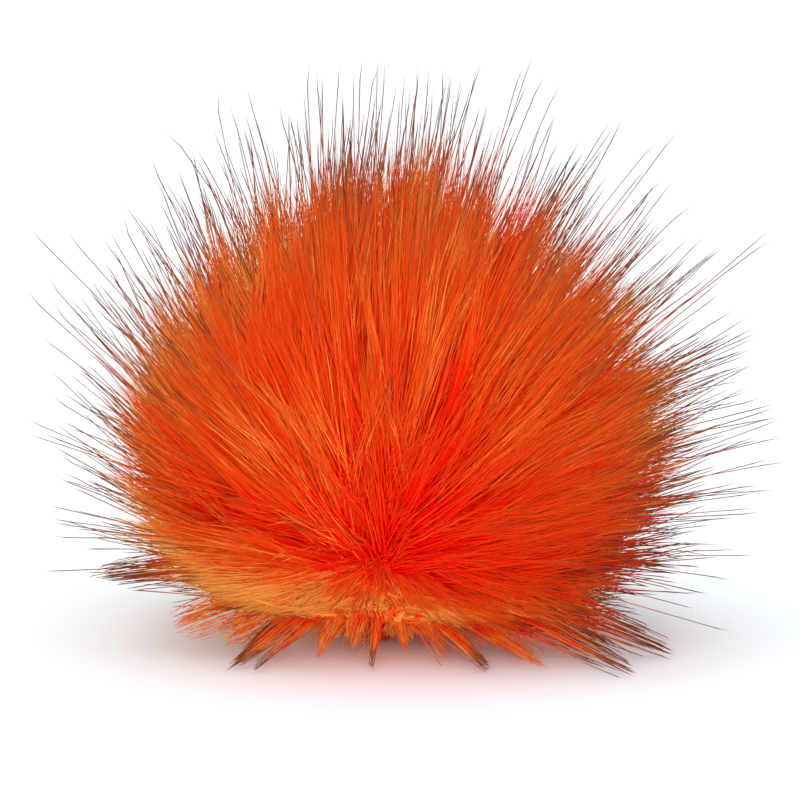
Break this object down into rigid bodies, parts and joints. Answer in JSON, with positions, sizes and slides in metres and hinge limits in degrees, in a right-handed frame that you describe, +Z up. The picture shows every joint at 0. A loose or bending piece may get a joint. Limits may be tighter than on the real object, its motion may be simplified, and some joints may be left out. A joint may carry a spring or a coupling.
{
  "type": "pom pom",
  "caption": "Round faux fur pom pom with long pile combed away from a parting, dark tips, and a small flat spot to rest on.",
  "frame": {"origin": "centre of the small flat spot that the pom pom rests on", "axes": "+Z up out of the flat spot, -Y towards the parting of the fur, +X to the right of a viewer who looks at the parting"},
  "size_m": [0.137, 0.119, 0.1099],
  "materials": {
    "fur": "long-pile faux fur, bright orange, red at the roots and dark brown at the tips"
  },
  "bodies": {
    "root": {"fur_ball": "fur"}
  },
  "joints": []
}
